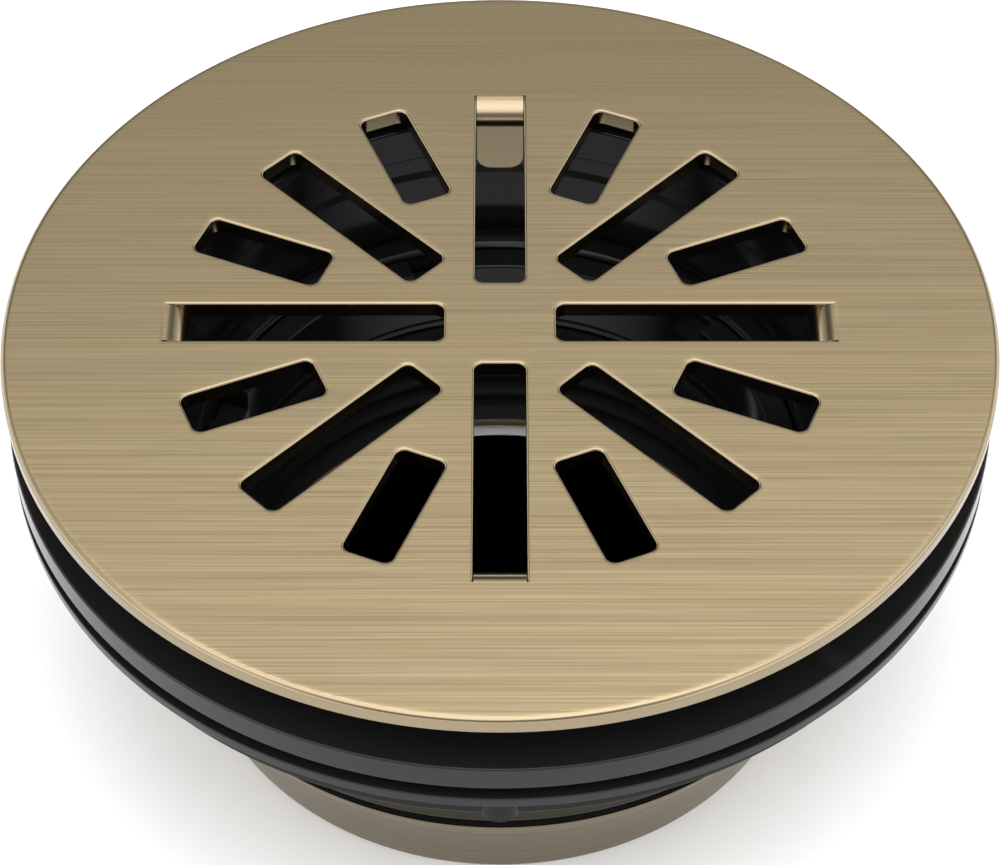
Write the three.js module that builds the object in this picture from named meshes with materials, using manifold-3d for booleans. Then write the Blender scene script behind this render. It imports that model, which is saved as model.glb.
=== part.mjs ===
// A round shower floor drain for a 2 inch pipe: a brushed gold grate that snaps into a
// height-adjusting riser, the moulded drain body with its clamping nut below the floor, the
// gold tail collar, and the rubber gasket and nut that seal the pipe inside.
// Millimetres, +Z up. The origin is on the axis, at the foot of the tail collar.
// The threads are left out: each screwed pair meets with a plain running gap.

import * as THREE from 'three';
import { mergeVertices } from 'three/addons/utils/BufferGeometryUtils.js';
import Module from 'manifold-3d';

const wasm = await Module();
wasm.setup();

// ---- Driving dimensions ----

const totalHeight = 51;          // foot of the tail collar to the top of the grate
const gap = 0.3;                 // between pieces that touch, and round threads that run
const rimFacets = 96;            // round the grate
const cutOverrun = 1;            // how far a cutting shape passes the piece it cuts
const sideFacets = 72;           // round the other pieces that show
const innerFacets = 48;          // round the pieces inside

// Grate
const plateRadius = 54;
const plateThickness = 2;
const plateEdgeFillet = 0.7;
const slotWidth = 5.5;
const slotCornerRadius = 1;
const longSlotStart = 6.1;       // inner ends of the three kinds of slot
const diagonalSlotStart = 11.2;
const shortSlotStart = 20.9;
const slotEndSetback = 0.7;      // how far the plain slots stop short of the tabbed ones
const bendRadius = 2.6;          // outside of the bend where a tab leaves the plate
const tabDrop = 9;               // top of the plate to the end of a tab
const tabCornerRadius = 1.7;
const tabRoot = 0.4;             // how far a tab runs back into the plate
const tabSideGap = 0.04;
const tabClearance = 0.5;        // tab to the bore it snaps into

// Riser that carries the grate
const plateStandoff = 6.1;       // flange of the body to the underside of the grate
const cushionThickness = 0.8;
const cushionInset = 2;          // cushion's bore outside the riser's
const cushionSetback = 0.5;      // cushion's edge inside the riser's flange
const riserBoreStep = 2;         // riser's bore outside the hub's
const riserWall = 3.3;
const riserFlangeWidth = 6.8;
const lockRingThickness = 1.4;
const lockRingWidth = 5.4;
const lockRingNotchCount = 6;
const lockRingNotchRadius = 1.6;
const sealSection = 0.85;        // radius of the ring seal's section
const sealGrooveDepth = 1.9;
const sealGrooveRise = 1.7;      // riser's foot to the groove

// Drain body
const flangeThickness = 3.2;
const flangeSetback = 0.05;      // flange edge inside the grate's edge
const barrelWall = 1.7;
const barrelLength = 14.2;       // full-width barrel below the flange
const bodyLedgeHeight = 29.7;    // where the riser's bore meets the hub, above the foot
const ledgeFall = 0.8;
const hubWall = 1.8;
const hubFoot = 9;
const neckDepth = 1.5;           // step from the barrel in to the neck under it

// Clamping below the floor
const floorGap = 1.8;            // flange to friction washer, with no floor fitted
const washerThickness = 1.25;
const gasketSetback = 2.4;       // edge of the floor gasket inside the flange
const nutSetback = 2;            // rim of the nut inside the washer
const nutRimHeight = 3.75;
const nutPlateThickness = 1.6;
const nutWall = 2;
const nutHubWall = 3.2;
const nutHubHeight = 8.35;
const nutRibCount = 12;
const nutRibWidth = 1.6;
const nutRibRoot = 1;            // how far a rib runs into the nut's hub
const nutRibTopSink = 0.5;       // rib inside the nut's plate
const nutRibFootRise = 0.4;      // rib above the foot of the rim
const lugCount = 4;
const lugRadius = 2.25;
const lugInset = 1.2;            // middle of a lug inside the rim

// Tail
const collarHeight = 13.95;
const collarWidth = 4.5;         // hub to the widest edge of the collar
const collarChamfer = 3.05;
const collarChamferWidth = 1.5;
const footWall = 1.75;
const footLipThickness = 1.6;
const footLipWidth = 3.4;
const jointWasherThickness = 2.15;
const jointWasherFootProud = 0.1;  // foot of the washer past the collar
const jointWasherProud = 0.75;   // top edge of the washer past its foot
const tailRingHeight = 4.5;
const tailRingProud = 1.2;

// Pipe seal
const pipeRadius = 30.15;        // 60.3 mm plastic pipe
const pipeClearance = 0.1;
const gasketWall = 3.85;
const gasketHeight = 16.6;
const gasketRibCount = 5;
const gasketRibDepth = 1.2;
const gasketMouthChamfer = 0.6;
const gasketLandTop = 0.95;      // of each rib's pitch, from its foot
const gasketLandFoot = 0.45;
const gasketGrooveMiddle = 0.2;
const slipWasherThickness = 1;
const slipWasherWidth = 2.9;
const compressionNutHeight = 8.4;
const compressionNutWall = 3.1;
const wrenchSlotCount = 6;
const wrenchSlotWidth = 5;
const wrenchSlotDepth = 2.6;
const wrenchSlotOverrun = 2;     // slot past each side of the wall

// ---- Radii, from the pipe outwards ----

const gasketBore = pipeRadius + pipeClearance;
const gasketRadius = gasketBore + gasketWall;
const hubBore = gasketRadius + gap;
const hubRadius = hubBore + hubWall;
const tailBore = hubRadius + gap;
const riserBore = hubBore + riserBoreStep;
const tabOuter = riserBore - tabClearance;
const tabInner = tabOuter - plateThickness;
const longSlotEnd = tabInner + bendRadius;
const plainSlotEnd = longSlotEnd - slotEndSetback;
const riserRadius = riserBore + riserWall;
const bodyBore = riserRadius + gap;
const barrelRadius = bodyBore + barrelWall;
const barrelClear = barrelRadius + gap;
const flangeRadius = plateRadius - flangeSetback;
const nutRadius = flangeRadius - nutSetback;

// ---- Heights, from the grate down ----

const plateUnderside = totalHeight - plateThickness;
const cushionTop = plateUnderside - gap;
const riserTop = cushionTop - cushionThickness - gap;
const flangeTop = plateUnderside - plateStandoff;
const flangeUnderside = flangeTop - flangeThickness;
const lockRingTop = flangeTop + gap + lockRingThickness;
const riserFlangeUnderside = lockRingTop + gap;
const riserFoot = bodyLedgeHeight + gap;
const washerTop = flangeUnderside - floorGap;
const nutTop = washerTop - washerThickness - gap;

// ---- Heights, from the foot up ----

const gasketFoot = footLipThickness + gap;
const gasketTop = gasketFoot + gasketHeight;
const slipWasherTop = gasketTop + gap + slipWasherThickness;
const compressionNutFoot = slipWasherTop + gap;
const jointWasherFoot = collarHeight + gap;
const tailRingFoot = jointWasherFoot + jointWasherThickness + gap;
const neckFoot = tailRingFoot + tailRingHeight + gap;

// ---- Finishes ----

const finish = {
  gold: { color: 0xb3a17c, roughness: 0.34, metalness: 1 },
  tailGold: { color: 0x9d8f6d, roughness: 0.4, metalness: 1 },
  black: { color: 0x17181a, roughness: 0.22, metalness: 0 },
  rubber: { color: 0x0f0f10, roughness: 0.7, metalness: 0 },
};

const drain = new THREE.Group();

function place(name, geometry, look) {
  const piece = new THREE.Mesh(geometry, new THREE.MeshStandardMaterial(finish[look]));
  piece.name = name;
  drain.add(piece);
}

// ---- Shape helpers ----

// Points of an arc, in degrees, in the plane of radius and height.
function arc(radius, height, size, from, to, steps) {
  const points = [];
  for (let i = 0; i <= steps; i += 1) {
    const angle = THREE.MathUtils.degToRad(from + (to - from) * i / steps);
    points.push([radius + size * Math.cos(angle), height + size * Math.sin(angle)]);
  }
  return points;
}

// Turns a closed outline of [radius, height] points about +Z.
function turned(outline, facets) {
  const points = outline.map(([radius, height]) => new THREE.Vector2(radius, height));
  if (THREE.ShapeUtils.area(points) < 0) points.reverse();
  points.push(points[0].clone());
  return new THREE.LatheGeometry(points, facets).rotateX(Math.PI / 2);
}

function ring(inner, outer, foot, top, facets) {
  return turned([[inner, foot], [outer, foot], [outer, top], [inner, top]], facets);
}

// A flat outline of [x, y] points, pushed up from one height to another.
function prism(shape, foot, top) {
  const settings = { depth: top - foot, bevelEnabled: false, curveSegments: 3 };
  return new THREE.ExtrudeGeometry(shape, settings).translate(0, 0, foot);
}

function toSolid(geometry) {
  const bare = geometry.clone();
  bare.deleteAttribute('normal');
  bare.deleteAttribute('uv');
  const merged = mergeVertices(bare);
  return new wasm.Manifold(new wasm.Mesh({
    numProp: 3,
    vertProperties: new Float32Array(merged.attributes.position.array),
    triVerts: new Uint32Array(merged.index.array),
  }));
}

function toGeometry(solid) {
  const mesh = solid.getMesh();
  const geometry = new THREE.BufferGeometry();
  geometry.setAttribute('position', new THREE.BufferAttribute(mesh.vertProperties, 3));
  geometry.setIndex(new THREE.BufferAttribute(mesh.triVerts, 1));
  geometry.computeVertexNormals();
  return geometry;
}

// Calls make(angle) for count places spread evenly round the axis.
function around(count, start, make) {
  return Array.from({ length: count }, (_, i) => make(start + i * 2 * Math.PI / count));
}

// ---- Grate ----

function slotShape(start, end, squareEnd) {
  const half = slotWidth / 2;
  const r = slotCornerRadius;
  const shape = new THREE.Shape();
  shape.moveTo(start + r, -half);
  if (squareEnd) {
    shape.lineTo(end, -half);
    shape.lineTo(end, half);
  } else {
    shape.lineTo(end - r, -half);
    shape.absarc(end - r, -half + r, r, -Math.PI / 2, 0, false);
    shape.lineTo(end, half - r);
    shape.absarc(end - r, half - r, r, 0, Math.PI / 2, false);
  }
  shape.lineTo(start + r, half);
  shape.absarc(start + r, half - r, r, Math.PI / 2, Math.PI, false);
  shape.lineTo(start, -half + r);
  shape.absarc(start + r, -half + r, r, Math.PI, Math.PI * 1.5, false);
  return shape;
}

// A strip bent down out of the plate at the end of a long slot, with rounded lower corners.
function tabSolid(angle) {
  const bendHeight = totalHeight - bendRadius;
  const tabFoot = totalHeight - tabDrop;
  const side = [
    [longSlotEnd + tabRoot, totalHeight],
    ...arc(longSlotEnd, bendHeight, bendRadius, 90, 180, 5),
    [tabInner, tabFoot],
    [tabOuter, tabFoot],
    ...arc(longSlotEnd, bendHeight, bendRadius - plateThickness, 180, 90, 3),
    [longSlotEnd + tabRoot, plateUnderside],
  ];
  const width = slotWidth - 2 * tabSideGap;
  const strip = new THREE.Shape(side.map(([x, y]) => new THREE.Vector2(x, y)));
  const bent = new THREE.ExtrudeGeometry(strip, { depth: width, bevelEnabled: false })
    .rotateX(Math.PI / 2).translate(0, width / 2, 0);
  const half = slotWidth / 2;
  const front = new THREE.Shape();
  front.moveTo(-half + tabCornerRadius, tabFoot);
  front.lineTo(half - tabCornerRadius, tabFoot);
  const cornerHeight = tabFoot + tabCornerRadius;
  front.absarc(half - tabCornerRadius, cornerHeight, tabCornerRadius, -Math.PI / 2, 0, false);
  front.lineTo(half, totalHeight + cutOverrun);
  front.lineTo(-half, totalHeight + cutOverrun);
  front.lineTo(-half, cornerHeight);
  front.absarc(-half + tabCornerRadius, cornerHeight, tabCornerRadius, Math.PI, Math.PI * 1.5, false);
  const depth = longSlotEnd + tabRoot - tabInner + 2 * cutOverrun;
  const outline = new THREE.ExtrudeGeometry(front, { depth, bevelEnabled: false, curveSegments: 4 })
    .rotateX(Math.PI / 2).rotateZ(Math.PI / 2).translate(tabInner - cutOverrun, 0, 0);
  bent.rotateZ(angle);
  outline.rotateZ(angle);
  return toSolid(bent).intersect(toSolid(outline));
}

function gratePlate() {
  const f = plateEdgeFillet;
  const disc = turned([
    [0, plateUnderside],
    [plateRadius, plateUnderside],
    ...arc(plateRadius - f, totalHeight - f, f, 0, 90, 3),
    [0, totalHeight],
  ], rimFacets);
  let plate = toSolid(disc);
  const cut = (start, end, squareEnd, angle) => {
    const hole = prism(slotShape(start, end, squareEnd), plateUnderside - cutOverrun,
      totalHeight + cutOverrun);
    plate = plate.subtract(toSolid(hole.rotateZ(angle)));
  };
  around(4, 0, (angle) => cut(longSlotStart, longSlotEnd, true, angle));
  around(4, Math.PI / 4, (angle) => cut(diagonalSlotStart, plainSlotEnd, false, angle));
  around(8, Math.PI / 8, (angle) => cut(shortSlotStart, plainSlotEnd, false, angle));
  around(4, 0, (angle) => { plate = plate.add(tabSolid(angle)); });
  return toGeometry(plate);
}

// ---- Riser and what is on it ----

function riserGeometry() {
  const grooveFoot = riserFoot + sealGrooveRise;
  const grooveTop = grooveFoot + 2 * (sealSection + gap);
  const flangeEdge = riserRadius + riserFlangeWidth;
  return turned([
    [riserBore, riserFoot],
    [riserRadius, riserFoot],
    [riserRadius, grooveFoot],
    [riserRadius - sealGrooveDepth, grooveFoot],
    [riserRadius - sealGrooveDepth, grooveTop],
    [riserRadius, grooveTop],
    [riserRadius, riserFlangeUnderside],
    [flangeEdge, riserFlangeUnderside],
    [flangeEdge, riserTop],
    [riserBore, riserTop],
  ], innerFacets);
}

function riserSealGeometry() {
  const middle = riserRadius + (gap - sealGrooveDepth) / 2;
  const height = riserFoot + sealGrooveRise + sealSection + gap;
  return turned(arc(middle, height, sealSection, 0, 300, 5), innerFacets);
}

function lockRingGeometry() {
  const outer = bodyBore + lockRingWidth;
  let solid = toSolid(ring(bodyBore, outer, flangeTop + gap, lockRingTop, innerFacets));
  around(lockRingNotchCount, Math.PI / lockRingNotchCount, (angle) => {
    const notchHeight = lockRingThickness + 2 * cutOverrun;
    const notch = new THREE.CylinderGeometry(lockRingNotchRadius, lockRingNotchRadius, notchHeight, 16)
      .rotateX(Math.PI / 2);
    notch.translate(outer, 0, (flangeTop + gap + lockRingTop) / 2).rotateZ(angle);
    solid = solid.subtract(toSolid(notch));
  });
  return toGeometry(solid);
}

// ---- Drain body ----

function drainBodyGeometry() {
  const barrelFoot = flangeUnderside - barrelLength;
  const neckRadius = barrelRadius - neckDepth;
  return turned([
    [hubBore, hubFoot],
    [hubRadius, hubFoot],
    [hubRadius, neckFoot],
    [neckRadius, neckFoot],
    [neckRadius, barrelFoot - neckDepth],
    [barrelRadius, barrelFoot],
    [barrelRadius, flangeUnderside],
    [flangeRadius, flangeUnderside],
    [flangeRadius, flangeTop],
    [bodyBore, flangeTop],
    [bodyBore, bodyLedgeHeight],
    [hubBore, bodyLedgeHeight - ledgeFall],
  ], sideFacets);
}

// ---- Clamping below the floor ----

function retainingNutGeometry() {
  const rimFoot = nutTop - nutRimHeight;
  const hubFootHeight = nutTop - nutHubHeight;
  const hubEdge = barrelClear + nutHubWall;
  const plateFoot = nutTop - nutPlateThickness;
  let solid = toSolid(turned([
    [barrelClear, hubFootHeight],
    [hubEdge, hubFootHeight],
    [hubEdge, plateFoot],
    [nutRadius - nutWall, plateFoot],
    [nutRadius - nutWall, rimFoot],
    [nutRadius, rimFoot],
    [nutRadius, nutTop],
    [barrelClear, nutTop],
  ], sideFacets));
  around(nutRibCount, Math.PI / nutRibCount, (angle) => {
    const inner = hubEdge - nutRibRoot;
    const foot = rimFoot + nutRibFootRise;
    const length = nutRadius - nutWall / 2 - inner;
    const height = nutTop - nutRibTopSink - foot;
    const rib = new THREE.BoxGeometry(length, nutRibWidth, height);
    rib.translate(inner + length / 2, 0, foot + height / 2).rotateZ(angle);
    solid = solid.add(toSolid(rib));
  });
  around(lugCount, 0, (angle) => {
    const lug = new THREE.CylinderGeometry(lugRadius, lugRadius, nutRimHeight, 20).rotateX(Math.PI / 2);
    lug.translate(nutRadius - lugInset, 0, rimFoot + nutRimHeight / 2).rotateZ(angle);
    const bore = ring(nutRadius - nutWall, nutRadius + 2 * lugRadius,
      rimFoot - cutOverrun, nutTop + cutOverrun, sideFacets);
    solid = solid.add(toSolid(lug).intersect(toSolid(bore)));
  });
  return toGeometry(solid);
}

// ---- Tail ----

function tailCollarGeometry() {
  const top = hubRadius + collarWidth;
  const foot = gasketRadius + footWall;
  return turned([
    [hubBore - footLipWidth, 0],
    [foot, 0],
    [top - collarChamferWidth, collarHeight - collarChamfer],
    [top, collarHeight],
    [tailBore, collarHeight],
    [tailBore, hubFoot - gap],
    [hubBore, hubFoot - gap],
    [hubBore, footLipThickness],
    [hubBore - footLipWidth, footLipThickness],
  ], sideFacets);
}

function jointWasherGeometry() {
  const foot = hubRadius + collarWidth + jointWasherFootProud;
  const top = jointWasherFoot + jointWasherThickness;
  return turned([
    [tailBore, jointWasherFoot],
    [foot, jointWasherFoot],
    [foot + jointWasherProud, top],
    [tailBore, top],
  ], sideFacets);
}

// ---- Pipe seal ----

function pipeGasketGeometry() {
  const pitch = gasketHeight / gasketRibCount;
  const inner = [];
  for (let i = gasketRibCount - 1; i >= 0; i -= 1) {
    const foot = gasketFoot + i * pitch;
    inner.push([gasketBore, foot + pitch * gasketLandTop], [gasketBore, foot + pitch * gasketLandFoot]);
    if (i > 0) inner.push([gasketBore + gasketRibDepth, foot + pitch * gasketGrooveMiddle]);
  }
  return turned([
    [gasketRadius, gasketFoot],
    [gasketRadius, gasketTop],
    [gasketBore + gasketMouthChamfer, gasketTop],
    ...inner,
    [gasketBore, gasketFoot],
  ], innerFacets);
}

function compressionNutGeometry() {
  const top = compressionNutFoot + compressionNutHeight;
  const bore = gasketRadius - compressionNutWall;
  let solid = toSolid(ring(bore, gasketRadius, compressionNutFoot, top, innerFacets));
  around(wrenchSlotCount, Math.PI / 4, (angle) => {
    const length = compressionNutWall + 2 * wrenchSlotOverrun;
    const slot = new THREE.BoxGeometry(length, wrenchSlotWidth, wrenchSlotDepth * 2);
    slot.translate(gasketRadius - compressionNutWall / 2, 0, top).rotateZ(angle);
    solid = solid.subtract(toSolid(slot));
  });
  return toGeometry(solid);
}

// ---- Assembly ----

place('grate_plate', gratePlate(), 'gold');
place('grate_cushion', ring(riserBore + cushionInset, riserRadius + riserFlangeWidth - cushionSetback,
  cushionTop - cushionThickness, cushionTop, innerFacets), 'rubber');
place('riser', riserGeometry(), 'black');
place('riser_seal', riserSealGeometry(), 'rubber');
place('riser_lock_ring', lockRingGeometry(), 'black');
place('drain_body', drainBodyGeometry(), 'black');
place('floor_gasket', ring(barrelClear, flangeRadius - gasketSetback,
  washerTop + gap, flangeUnderside - gap, innerFacets), 'rubber');
place('friction_washer', ring(barrelClear, flangeRadius, washerTop - washerThickness, washerTop,
  sideFacets), 'black');
place('retaining_nut', retainingNutGeometry(), 'black');
place('tail_lock_ring', ring(tailBore, hubRadius + collarWidth + tailRingProud,
  tailRingFoot, tailRingFoot + tailRingHeight, sideFacets), 'tailGold');
place('joint_washer', jointWasherGeometry(), 'rubber');
place('tail_collar', tailCollarGeometry(), 'tailGold');
place('pipe_gasket', pipeGasketGeometry(), 'rubber');
place('slip_washer', ring(gasketRadius - slipWasherWidth, gasketRadius,
  gasketTop + gap, slipWasherTop, innerFacets), 'black');
place('compression_nut', compressionNutGeometry(), 'black');

export default drain;
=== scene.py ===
# Looks for the round floor drain: a brushed gold grate on a glossy black drain body, with the
# clamping nut, the gold tail collar and the rubber pipe seal. Sizes in the dictionaries are in
# millimetres unless a note says metres; the meshes and everything from the frame are in metres.
# In an outline, a point's third number is the size of its rounded corner.
import math

import bmesh
import bpy
from mathutils import Matrix, Vector


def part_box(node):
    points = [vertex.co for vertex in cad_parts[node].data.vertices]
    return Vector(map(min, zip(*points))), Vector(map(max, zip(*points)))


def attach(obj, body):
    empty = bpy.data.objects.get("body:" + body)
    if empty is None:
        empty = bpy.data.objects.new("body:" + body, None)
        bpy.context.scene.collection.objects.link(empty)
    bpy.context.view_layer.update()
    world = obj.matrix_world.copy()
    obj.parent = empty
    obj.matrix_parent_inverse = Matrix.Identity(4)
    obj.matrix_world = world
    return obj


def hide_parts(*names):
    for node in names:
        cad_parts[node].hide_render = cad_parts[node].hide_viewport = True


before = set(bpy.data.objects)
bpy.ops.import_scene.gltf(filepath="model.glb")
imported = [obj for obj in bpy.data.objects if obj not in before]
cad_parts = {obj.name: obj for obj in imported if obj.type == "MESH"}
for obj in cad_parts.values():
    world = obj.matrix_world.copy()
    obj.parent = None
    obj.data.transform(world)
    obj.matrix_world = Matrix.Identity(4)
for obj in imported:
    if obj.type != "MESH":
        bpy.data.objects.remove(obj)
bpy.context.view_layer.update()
scene = bpy.context.scene
scene.view_settings.view_transform = "Standard"
mm = 0.001
fullTurn = 2 * math.pi


# foot, top and outer radius of a CAD node, in millimetres
def span(node):
    low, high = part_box(node)
    return low.z / mm, high.z / mm, high.x / mm


# Mesh helpers, all in millimetres until asPiece

def asPiece(name, bm, body, material, replaced=(), sharp=35):
    bmesh.ops.scale(bm, verts=bm.verts, vec=(mm, mm, mm))
    mesh = bpy.data.meshes.new(name)
    bm.to_mesh(mesh)
    bm.free()
    mesh.materials.append(material)
    for face in mesh.polygons:
        face.use_smooth = True
    mesh.set_sharp_from_angle(angle=math.radians(sharp))
    piece = bpy.data.objects.new(name, mesh)
    scene.collection.objects.link(piece)
    evenNormals = piece.modifiers.new("evenNormals", "WEIGHTED_NORMAL")
    evenNormals.keep_sharp = True
    evenNormals.weight = 100
    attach(piece, body)
    if replaced:
        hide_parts(*replaced)
    return piece


samePlace = 0.01                # points closer than this count as one
arcShare = 0.49                 # the most of a side that the arc at one of its ends can take


# a closed outline from (radius, height, corner size) points, each corner drawn as an arc
def rounded(points, steps=4):
    outline = []
    for i, (radius, height, size) in enumerate(points):
        here = Vector((radius, height))
        if size <= 0:
            outline.append(here)
            continue
        before = Vector(points[i - 1][:2]) - here
        after = Vector(points[(i + 1) % len(points)][:2]) - here
        half = before.angle(after) / 2
        reach = min(size / math.tan(half), before.length * arcShare, after.length * arcShare)
        depth = reach * math.tan(half)
        inward = (before.normalized() + after.normalized()).normalized()
        middle = here + inward * (depth / math.sin(half))
        start = here + before.normalized() * reach - middle
        end = here + after.normalized() * reach - middle
        sweep = math.atan2(start.x * end.y - start.y * end.x, start.dot(end))
        for k in range(steps + 1):
            a = sweep * k / steps
            outline.append(middle + Vector((start.x * math.cos(a) - start.y * math.sin(a),
                                            start.x * math.sin(a) + start.y * math.cos(a))))
    return outline


# points up or down a straight wall, close enough together to carry a thread
def wall(radius, start, end, step=0.16):
    count = max(2, round(abs(end - start) / step))
    return [(radius, start + (end - start) * i / count, 0) for i in range(count + 1)]


threadForm = {
    "onWall": 0.02,             # points this close to the wall's radius are cut
    "fade": 0.6,                # turns over which the groove deepens at either end
    "slope": 4, "crest": 0.5,
}


# cuts a right-hand screw thread into the wall at this radius; depth below 0 cuts outward, into a bore
def thread(radius, low, high, pitch, depth):
    def wave(angle, r, z):
        if abs(r - radius) > threadForm["onWall"] or not low <= z <= high:
            return r, z
        fade = min(1, min(z - low, high - z) / pitch / threadForm["fade"])
        phase = (z / pitch - angle / fullTurn) % 1
        flank = min(1, max(0, abs(phase - 0.5) * threadForm["slope"] - threadForm["crest"]))
        return r - depth * fade * (flank * flank * (3 - 2 * flank)), z
    return wave


# turns a closed outline about the axis, at even angles or at a given list of them
def turned(outline, count=256, angles=None, waves=()):
    bm = bmesh.new()
    angles = angles or [fullTurn * i / count for i in range(count)]
    rings = []
    for angle in angles:
        ring = []
        for point in outline:
            r, z = point[0], point[1]
            for wave in waves:
                r, z = wave(angle, r, z)
            ring.append(bm.verts.new((r * math.cos(angle), r * math.sin(angle), z)))
        rings.append(ring)
    for i, here in enumerate(rings):
        there = rings[(i + 1) % len(rings)]
        for k in range(len(outline)):
            j = (k + 1) % len(outline)
            bm.faces.new((here[k], there[k], there[j], here[j]))
    bmesh.ops.recalc_face_normals(bm, faces=bm.faces)
    return bm


# pushes an outline of (x, y) points from one height to another
def prism(outline, foot, top):
    bm = bmesh.new()
    low = [bm.verts.new((x, y, foot)) for x, y in outline]
    high = [bm.verts.new((x, y, top)) for x, y in outline]
    bm.faces.new(low[::-1])
    bm.faces.new(high)
    for k in range(len(outline)):
        j = (k + 1) % len(outline)
        bm.faces.new((low[k], low[j], high[j], high[k]))
    bmesh.ops.recalc_face_normals(bm, faces=bm.faces)
    return bm


def merged(target, part, place=Matrix()):
    part.transform(place)
    scratch = bpy.data.meshes.new("scratch")
    part.to_mesh(scratch)
    part.free()
    target.from_mesh(scratch)
    bpy.data.meshes.remove(scratch)


def softenEdges(bm, size, segments=3, fromAngle=40, keep=lambda edge: True):
    limit = math.radians(fromAngle)
    edges = [e for e in bm.edges
             if len(e.link_faces) == 2 and e.calc_face_angle(0) > limit and keep(e)]
    bmesh.ops.bevel(bm, geom=edges, offset=size, segments=segments, profile=0.5, affect="EDGES",
                    clamp_overlap=True)


def turnedBy(angle):
    return Matrix.Rotation(angle, 4, "Z")


# Shader helpers

def newGroup(name, inputs, outputs):
    group = bpy.data.node_groups.new(name, "ShaderNodeTree")
    for label, kind, value in inputs:
        socket = group.interface.new_socket(name=label, in_out="INPUT", socket_type=kind)
        socket.default_value = value
    for label, kind in outputs:
        group.interface.new_socket(name=label, in_out="OUTPUT", socket_type=kind)
    return group, group.nodes.new("NodeGroupInput"), group.nodes.new("NodeGroupOutput")


def addNode(tree, kind, **settings):
    node = tree.nodes.new(kind)
    for key, value in settings.items():
        setattr(node, key, value)
    return node


def doMath(tree, operation, first, second=0.0, clamp=False):
    node = addNode(tree, "ShaderNodeMath", operation=operation, use_clamp=clamp)
    for socket, value in zip(node.inputs, (first, second)):
        if isinstance(value, (int, float)):
            socket.default_value = value
        else:
            tree.links.new(value, socket)
    return node.outputs[0]


def weighted(tree, first, firstShare, second, secondShare):
    return doMath(tree, "ADD", doMath(tree, "MULTIPLY", first, firstShare),
                  doMath(tree, "MULTIPLY", second, secondShare))


def remap(tree, value, fromLow, fromHigh, toLow, toHigh):
    node = addNode(tree, "ShaderNodeMapRange", clamp=True)
    tree.links.new(value, node.inputs["Value"])
    ends = {"From Min": fromLow, "From Max": fromHigh, "To Min": toLow, "To Max": toHigh}
    for label, number in ends.items():
        if isinstance(number, (int, float)):
            node.inputs[label].default_value = number
        else:
            tree.links.new(number, node.inputs[label])
    return node.outputs["Result"]


def noiseAt(tree, vector, scale, detail=3.0, roughness=0.55):
    node = addNode(tree, "ShaderNodeTexNoise")
    node.inputs["Scale"].default_value = scale
    node.inputs["Detail"].default_value = detail
    node.inputs["Roughness"].default_value = roughness
    tree.links.new(vector, node.inputs["Vector"])
    return node.outputs["Fac"]


def stretched(tree, vector, scale):
    node = addNode(tree, "ShaderNodeMapping")
    node.inputs["Scale"].default_value = scale
    tree.links.new(vector, node.inputs["Vector"])
    return node.outputs["Vector"]


brushLines = {
    # scale along the brushing, scale across it, detail and roughness of each layer
    "fine": (26, 8600, 2.0, 0.6),
    "medium": (24, 5200, 2.0, 0.6),
    "streak": (14, 1500, 2.0, 0.55),
    "drift": (5, 60, 2.0, 0.5),
    "hairShares": (0.55, 0.45),         # of the fine and the medium layer
    "toneRange": (0.38, 0.62),
}


# straight brushing along X: fine hairlines, broader streaks and slow drifts of tone
def brushingGroup():
    group, start, end = newGroup("straightBrushing", [
        ("Position", "NodeSocketVector", (0, 0, 0)),
        ("Line Depth", "NodeSocketFloat", 1.0),
        ("Streak Share", "NodeSocketFloat", 0.35),
    ], [("Tone", "NodeSocketFloat"), ("Height", "NodeSocketFloat"), ("Drift", "NodeSocketFloat")])

    def layer(name):
        along, across, detail, roughness = brushLines[name]
        vector = stretched(group, start.outputs["Position"], (along, across, across))
        return noiseAt(group, vector, 1.0, detail, roughness)

    fineShare, mediumShare = brushLines["hairShares"]
    hair = weighted(group, layer("fine"), fineShare, layer("medium"), mediumShare)
    share = start.outputs["Streak Share"]
    rest = doMath(group, "SUBTRACT", 1.0, share)
    mixed = weighted(group, hair, rest, layer("streak"), share)
    tone = remap(group, mixed, *brushLines["toneRange"], 0.0, 1.0)
    height = doMath(group, "MULTIPLY", mixed, start.outputs["Line Depth"])
    group.links.new(tone, end.inputs["Tone"])
    group.links.new(height, end.inputs["Height"])
    group.links.new(layer("drift"), end.inputs["Drift"])
    return group


latheLines = {"scale": 3200, "detail": 3.0, "roughness": 0.6, "toneRange": (0.3, 0.7)}


# lines left by a lathe: rings that vary with height and distance from the axis
def lathingGroup():
    group, start, end = newGroup("latheLines", [
        ("Position", "NodeSocketVector", (0, 0, 0)),
        ("Line Depth", "NodeSocketFloat", 1.0),
    ], [("Tone", "NodeSocketFloat"), ("Height", "NodeSocketFloat")])
    split = addNode(group, "ShaderNodeSeparateXYZ")
    group.links.new(start.outputs["Position"], split.inputs[0])
    x, y, z = split.outputs
    reach = doMath(group, "POWER", weighted(group, x, x, y, y), 0.5)
    joined = addNode(group, "ShaderNodeCombineXYZ")
    group.links.new(reach, joined.inputs[0])
    group.links.new(z, joined.inputs[1])
    scale = latheLines["scale"]
    lines = noiseAt(group, stretched(group, joined.outputs[0], (scale, scale, 1)), 1.0,
                    latheLines["detail"], latheLines["roughness"])
    tone = remap(group, lines, *latheLines["toneRange"], 0.0, 1.0)
    height = doMath(group, "MULTIPLY", lines, start.outputs["Line Depth"])
    group.links.new(tone, end.inputs["Tone"])
    group.links.new(height, end.inputs["Height"])
    return group


mouldNoise = {
    # scale, detail and roughness
    "grain": (2600, 2.0, 0.6),
    "cloud": (70, 4.0, 0.6),
    "markRange": (0.5, 0.72),           # the part of the cloud that shows as marks
}


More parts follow.
